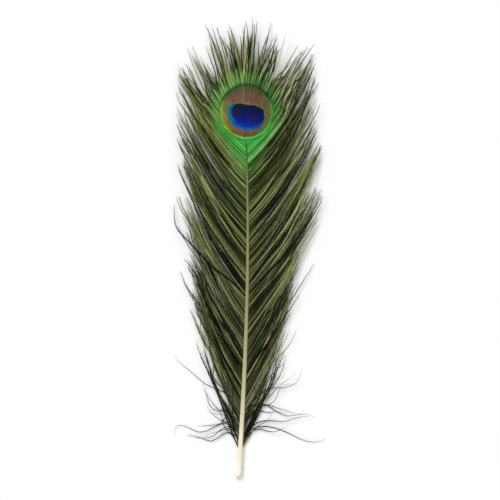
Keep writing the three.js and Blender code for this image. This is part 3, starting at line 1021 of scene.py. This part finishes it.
def barb_material(name, metallic, roughness):
    """Keratin that is green, bronze and blue by its fine layers, so it has a soft metal gloss."""
    made, tree, shader = new_material(name)
    place = add_node(tree, "ShaderNodeTexCoord").outputs["Object"]
    feeds = {"Vector": place, "Location": tuple(-eye_middle / MM), "Scale": (1 / MM,) * 3}
    from_eye = out_of(tree, "ShaderNodeMapping", feeds)
    tone, hue, along = (kept_on_barb(tree, key) for key in ("tone", "hue", "along"))
    root, run, off = (kept_on_barb(tree, key) for key in ("root", "run", "off_middle"))
    feeds = {"X": times(tree, tone, 41.0), "Y": times(tree, run, 0.11), "Z": times(tree, root, 160.0)}
    spot = out_of(tree, "ShaderNodeCombineXYZ", feeds)
    flicker = noise(tree, spot, 1.0, 3, 0.6)
    feeds = {"Vector": from_eye, "Tone": tone, "Flicker": flicker}
    rings = add_node(tree, "ShaderNodeGroup", feeds, node_tree=eye_rings)
    feeds.update({"Hue": hue, "Along": along, "Root": root})
    loose = add_node(tree, "ShaderNodeGroup", feeds, node_tree=barb_colour)
    feeds = {"Run": run, "Off Middle": off, "Pitch": BARBULE_PITCH}
    barbules = add_node(tree, "ShaderNodeGroup", feeds, node_tree=barbule_lines).outputs["Height"]
    in_eye = rings.outputs["Mask"]
    outside = calc(tree, "MAXIMUM", rings.outputs["Out of Ring"], minus(tree, 1.0, in_eye))
    from_middle = calc(tree, "ABSOLUTE", off)

    # The pale rib along the middle of each loose barb shows only on the paler ones.
    colour = blend(tree, in_eye, loose.outputs["Color"], rings.outputs["Color"])
    rib = times(tree, outside, ease(tree, tone, 0.35, 0.95, 0.05, 0.6))
    rib = times(tree, ease(tree, from_middle, 0.4, 0.1), rib)
    colour = blend(tree, rib, colour, srgb(160, 164, 108))

    # The shade is darker on the barbules and even over the eye. It also holds painted shade: darker at a
    # barb's edges, deep in the vane, and in the grooves between barbules.
    contrast = times(tree, plus(tree, times(tree, outside, 0.8), 0.2), 1.45)
    shade = plus(tree, times(tree, minus(tree, tone, 0.5), contrast), 1.0)
    # Painted shade: each barb is darker towards its edges, where the next one lies against it, and a
    # little lighter in its middle.
    shade = times(tree, shade, ease(tree, from_middle, 0.3, 1.0, 1.1, 0.3))
    # Painted shade: the barbs are darker towards their roots, deep in the vane, lighter towards their tips
    # and a little lighter on the crown.
    painted_depth_shade = ease(tree, along, 0.15, 0.85, 0.45, 0.88)
    painted_depth_shade = times(tree, painted_depth_shade, ease(tree, root, 0.88, 0.97, 1.0, 1.05))
    feeds = {"Factor": in_eye, "A": painted_depth_shade, "B": 0.86}
    shade = times(tree, shade, out_of(tree, "ShaderNodeMix", feeds, data_type="FLOAT"))
    on_barbule = kept_on_barb(tree, "barbule")
    shade = times(tree, shade, ease(tree, on_barbule, 0.0, 1.0, 1.0, 0.72))
    # Painted shade: the fine barbule lines are lighter on their ridges and darker in the grooves between
    # them.
    shade = plus(tree, shade, times(tree, barbules, 0.07))

    # The back of the feather is a dull brown.
    normal = add_node(tree, "ShaderNodeNewGeometry").outputs["Normal"]
    upward = add_node(tree, "ShaderNodeSeparateXYZ", {"Vector": normal}).outputs["Z"]
    back = blend(tree, tone, srgb(58, 48, 36), srgb(128, 112, 84))
    colour = blend(tree, ease(tree, upward, -0.25, -0.8, 0.0, 0.75), colour, back)
    feeds = {"Red": shade, "Green": shade, "Blue": shade}
    tint = out_of(tree, "ShaderNodeCombineColor", feeds)
    colour = blend(tree, 1.0, colour, tint, "MULTIPLY")
    bump = out_of(tree, "ShaderNodeBump", {"Strength": 0.5, "Distance": 0.06 * MM, "Height": barbules})
    feed(tree, shader.inputs["Base Color"], colour)
    feed(tree, shader.inputs["Normal"], bump)
    shader.inputs["Metallic"].default_value = metallic
    shader.inputs["Roughness"].default_value = roughness
    shader.inputs["Specular IOR Level"].default_value = 0.06
    return made


BARB_STEPS = 38
ROW_SPLIT = 0.42  # the place where a side's row is parted in a lower and an upper piece

barb_keratin = barb_material("barb_keratin", 0.35, 0.42)
side_places = (np.arange(SIDE_BARBS) + 0.5) / SIDE_BARBS
for name, hand, lowest, highest, seed in (
    ("left_lower_barbs", -1.0, 0.0, ROW_SPLIT, 3),
    ("left_upper_barbs", -1.0, ROW_SPLIT, EYE_FIRST_PLACE, 7),
    ("right_lower_barbs", 1.0, 0.0, ROW_SPLIT, 11),
    ("right_upper_barbs", 1.0, ROW_SPLIT, EYE_FIRST_PLACE, 13),
):
    row_places = side_places[(side_places >= lowest) & (side_places < highest)]
    lines, measures = grow_barbs(row_places, np.full(len(row_places), hand), BARB_STEPS)
    row = grown(name, lines, measures, seed, barb_keratin)
    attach(row, "root")
    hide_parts("feather")


# ---- The eye and the crown ----
# Round the eye the barbs are flat and their barbules hook together, so they lie edge to edge like thin
# slats and show the rings as one surface. Past the rings they part, and go on as the loose crown above.

CROWN_BARBS = 46  # on each side, past place 1
EYE_STEPS = 60

crown_places = 1 + (np.arange(CROWN_BARBS) + 0.5) / CROWN_BARBS
fan_places = np.concatenate([side_places[side_places >= EYE_FIRST_PLACE], crown_places])
fan_sides = np.repeat([-1.0, 1.0], len(fan_places))
lines, measures = grow_barbs(np.tile(fan_places, 2), fan_sides, EYE_STEPS)
eye_barbs = grown("eye_barbs", lines, measures, 29, barb_material("eye_keratin", 0.45, 0.36))
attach(eye_barbs, "root")
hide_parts("feather")


# ---- The table, the light and the camera ----
# The feather lies on a plain white table under wide, even lights.
# The camera looks straight down on it.

TABLE_SIDE = 8.0  # the sizes of this section are in metres
SKY_LIGHT = 0.68  # what the sky sheds on the feather, and how bright it looks itself
SKY_SEEN = 1.02
LAMPS = (  # each one's name, place, spread in degrees and power
    ("key", (-0.6, 0.62, 0.8), 24, 1.9),
    ("fill", (0.8, -0.35, 0.9), 60, 0.35),
)
VIEW_HEIGHT = 0.277  # how much of the table the view takes in

bpy.ops.mesh.primitive_plane_add(size=TABLE_SIDE, location=(0, 0, 0))
table = bpy.context.object
table.name = "table"
white, tree, shader = new_material("table_white")
shader.inputs["Base Color"].default_value = (0.86, 0.86, 0.86, 1)
shader.inputs["Roughness"].default_value = 0.8
table.data.materials.append(white)

sky = bpy.data.worlds.new("studio")
sky.use_nodes = True
backdrop = sky.node_tree.nodes["Background"]
seen = add_node(sky.node_tree, "ShaderNodeLightPath").outputs["Is Camera Ray"]
backdrop.inputs["Color"].default_value = (1, 1, 1, 1)
strength = ease(sky.node_tree, seen, 0.0, 1.0, SKY_LIGHT, SKY_SEEN)
feed(sky.node_tree, backdrop.inputs["Strength"], strength)
bpy.context.scene.world = sky
for name, spot, spread, power in LAMPS:
    lamp = bpy.data.lights.new(name, "SUN")
    lamp.angle = math.radians(spread)
    lamp.energy = power
    light = new_object(name, lamp)
    light.location = spot
    light.rotation_euler = (-Vector(spot)).to_track_quat("-Z", "Y").to_euler()

lens = bpy.data.cameras.new("camera")
lens.lens = 85
lens.sensor_width = 36
lens.clip_start = 0.05
lens.clip_end = 20
camera = new_object("camera", lens)
camera.location = (0.0, 0.0, VIEW_HEIGHT * lens.lens / lens.sensor_width)
camera.rotation_euler = (0, 0, 0)
bpy.context.scene.camera = camera
bpy.context.scene.view_settings.view_transform = "Standard"
